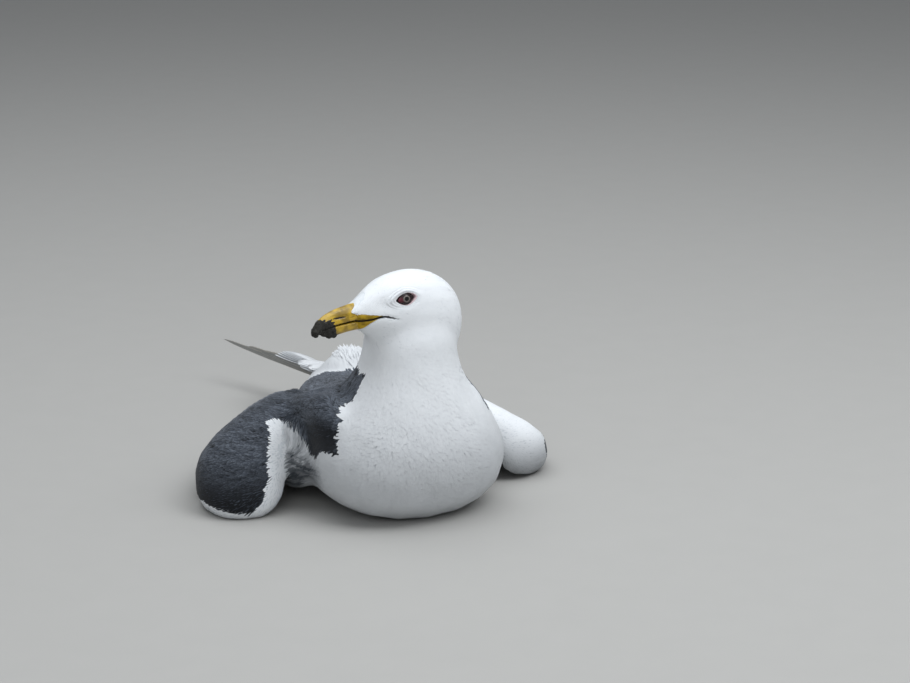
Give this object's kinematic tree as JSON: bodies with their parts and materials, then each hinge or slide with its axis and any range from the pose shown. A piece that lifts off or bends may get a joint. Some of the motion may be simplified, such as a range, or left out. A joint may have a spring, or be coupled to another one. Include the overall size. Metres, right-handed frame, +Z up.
{
  "type": "slaty-backed gull resting on its belly, life-size still model",
  "caption": "Life-size still model of an adult dark-backed gull lying on its belly, wings half dropped and head turned to its right.",
  "frame": {"origin": "on the floor, at the middle of the model's outline seen from above", "axes": "+Z up, -Y the way the breast points, +X the bird's left side"},
  "size_m": [0.3232, 0.482, 0.2107],
  "materials": {
    "body_feathers": "soft white contour feathers",
    "mantle_feathers": "slate-grey feathers with paler edges",
    "flight_feathers": "blackish vanes, grey beneath, with white tips",
    "bill_horn": "yellow horn with a dark, sandy tip",
    "eye": "wet, clear cornea over a pale iris",
    "leg_skin": "pink scaly skin"
  },
  "bodies": {
    "root": {"trunk": "body_feathers", "neck": "body_feathers", "head": "body_feathers", "tail": "body_feathers", "bill_upper": "bill_horn", "bill_lower": "bill_horn", "eye_left": "eye", "eye_right": "eye", "wing_right_shoulder": "mantle_feathers", "wing_right_arm": "mantle_feathers", "wing_right_secondaries": "mantle_feathers", "wing_right_primaries": "flight_feathers", "wing_left_shoulder": "mantle_feathers", "wing_left_arm": "mantle_feathers", "wing_left_secondaries": "mantle_feathers", "wing_left_primaries": "flight_feathers", "foot_right": "leg_skin", "shank_right": "leg_skin", "foot_left": "leg_skin", "shank_left": "leg_skin"}
  },
  "joints": []
}
